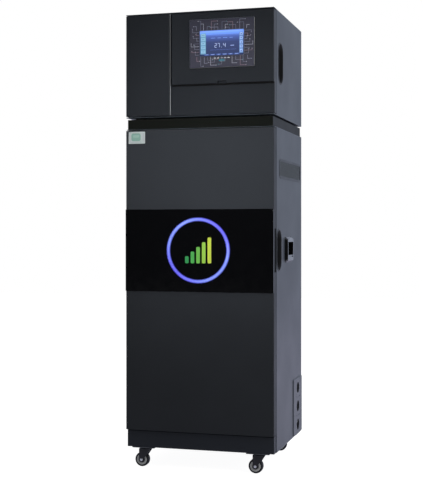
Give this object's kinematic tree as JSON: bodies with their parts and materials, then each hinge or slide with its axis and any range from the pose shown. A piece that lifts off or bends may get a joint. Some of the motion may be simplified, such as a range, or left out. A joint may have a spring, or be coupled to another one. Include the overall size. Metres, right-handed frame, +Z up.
{
  "type": "online chemical oxygen demand analyzer",
  "caption": "Floor cabinet on casters with a swing door and lit ring, and a second housing on top with a touch panel on a lifting flap.",
  "frame": {"origin": "on the floor under the centre of the cabinet", "axes": "+Z up, front faces -Y, +X to the right seen from the front"},
  "size_m": [0.546, 0.48, 1.57],
  "materials": {
    "side_paint": "satin",
    "door_paint": "fine textured matt",
    "inner_paint": "satin",
    "plinth_paint": "satin",
    "neck_paint": "matt",
    "galvanised_steel": "galvanised",
    "pivot_steel": "turned",
    "black_plastic": "fine grained",
    "grille_plastic": "satin",
    "fascia_acrylic": "polished",
    "light_ring": "translucent, lit from behind",
    "seal_rubber": "matt",
    "panel_plastic": "satin",
    "screen_glass": "polished, lit from behind",
    "bottle_plastic": "translucent",
    "cap_plastic": "moulded",
    "tube_plastic": "translucent",
    "manifold_plastic": "machined",
    "rotor_plastic": "moulded",
    "digester_metal": "satin",
    "vessel_glass": "clear",
    "caster_steel": "satin",
    "caster_rubber": "matt"
  },
  "bodies": {
    "cabinet": {"base_pan": "galvanised_steel", "bottle_caps": "cap_plastic", "caster_plates": "galvanised_steel", "component_tray": "inner_paint", "control_unit": "black_plastic", "digester_housing": "digester_metal", "digester_tube": "vessel_glass", "door_pivot_pins": "pivot_steel", "fan_frame": "black_plastic", "left_side_panel": "side_paint", "magnetic_catches": "galvanised_steel", "neck_feet": "black_plastic", "neck_frame": "neck_paint", "plinth": "plinth_paint", "port_blocks": "black_plastic", "port_plate": "grille_plastic", "power_supply": "digester_metal", "pull_cups": "black_plastic", "pump_body": "black_plastic", "pump_tube": "tube_plastic", "reagent_bottles": "bottle_plastic", "reagent_tubes": "tube_plastic", "rear_panel": "side_paint", "right_side_panel": "side_paint", "shelf": "inner_paint", "side_handles": "black_plastic", "terminal_rail": "manifold_plastic", "top_deck": "side_paint", "upper_base_plate": "side_paint", "upper_left_side": "side_paint", "upper_rear_panel": "side_paint", "upper_right_side": "side_paint", "upper_top_cover": "side_paint", "valve_manifold": "manifold_plastic", "vent_grilles": "grille_plastic", "waste_tank": "bottle_plastic"},
    "lower_door": {"lower_door_skin": "door_paint", "lower_door_liner": "inner_paint", "fascia_panel": "fascia_acrylic", "light_ring": "light_ring", "lower_door_gasket": "seal_rubber"},
    "upper_door": {"upper_door_pan": "door_paint", "left_cover_panel": "door_paint", "upper_door_gasket": "seal_rubber"},
    "screen_flap": {"screen_flap": "door_paint", "touch_panel": "panel_plastic", "touch_screen": "screen_glass"},
    "pump_rotor": {"pump_rotor": "rotor_plastic"},
    "fan_rotor": {"fan_rotor": "black_plastic"},
    "caster_fork_fl": {"caster_fork_fl": "caster_steel"},
    "caster_wheel_fl": {"caster_wheel_fl": "caster_rubber"},
    "caster_fork_fr": {"caster_fork_fr": "caster_steel"},
    "caster_wheel_fr": {"caster_wheel_fr": "caster_rubber"},
    "caster_fork_rl": {"caster_fork_rl": "caster_steel"},
    "caster_wheel_rl": {"caster_wheel_rl": "caster_rubber"},
    "caster_fork_rr": {"caster_fork_rr": "caster_steel"},
    "caster_wheel_rr": {"caster_wheel_rr": "caster_rubber"}
  },
  "joints": [
    {"name": "lower_door_hinge", "type": "hinge", "parent": "cabinet", "child": "lower_door", "pos_m": [-0.2545, -0.204, 0.65], "axis": [0, 0, -1], "range_deg": [0, 105]},
    {"name": "upper_door_hinge", "type": "hinge", "parent": "cabinet", "child": "upper_door", "pos_m": [-0.2545, -0.204, 1.39], "axis": [0, 0, -1], "range_deg": [0, 105]},
    {"name": "screen_flap_hinge", "type": "hinge", "parent": "upper_door", "child": "screen_flap", "pos_m": [0.0835, -0.228, 1.5605], "axis": [-1, 0, 0], "range_deg": [0, 70]},
    {"name": "pump_spin", "type": "hinge", "parent": "cabinet", "child": "pump_rotor", "pos_m": [-0.12, -0.03, 0.9], "axis": [0, 1, 0], "continuous": true},
    {"name": "fan_spin", "type": "hinge", "parent": "cabinet", "child": "fan_rotor", "pos_m": [0.185, 0.225, 1.4395], "axis": [0, 1, 0], "continuous": true},
    {"name": "caster_swivel_fl", "type": "hinge", "parent": "cabinet", "child": "caster_fork_fl", "pos_m": [-0.2035, -0.192, 0.064], "axis": [0, 0, 1], "continuous": true},
    {"name": "caster_spin_fl", "type": "hinge", "parent": "caster_fork_fl", "child": "caster_wheel_fl", "pos_m": [-0.2155, -0.192, 0.025], "axis": [0, 1, 0], "continuous": true},
    {"name": "caster_swivel_fr", "type": "hinge", "parent": "cabinet", "child": "caster_fork_fr", "pos_m": [0.2035, -0.192, 0.064], "axis": [0, 0, 1], "continuous": true},
    {"name": "caster_spin_fr", "type": "hinge", "parent": "caster_fork_fr", "child": "caster_wheel_fr", "pos_m": [0.1915, -0.192, 0.025], "axis": [0, 1, 0], "continuous": true},
    {"name": "caster_swivel_rl", "type": "hinge", "parent": "cabinet", "child": "caster_fork_rl", "pos_m": [-0.2035, 0.198, 0.064], "axis": [0, 0, 1], "continuous": true},
    {"name": "caster_spin_rl", "type": "hinge", "parent": "caster_fork_rl", "child": "caster_wheel_rl", "pos_m": [-0.2155, 0.198, 0.025], "axis": [0, 1, 0], "continuous": true},
    {"name": "caster_swivel_rr", "type": "hinge", "parent": "cabinet", "child": "caster_fork_rr", "pos_m": [0.2035, 0.198, 0.064], "axis": [0, 0, 1], "continuous": true},
    {"name": "caster_spin_rr", "type": "hinge", "parent": "caster_fork_rr", "child": "caster_wheel_rr", "pos_m": [0.1915, 0.198, 0.025], "axis": [0, 1, 0], "continuous": true}
  ]
}
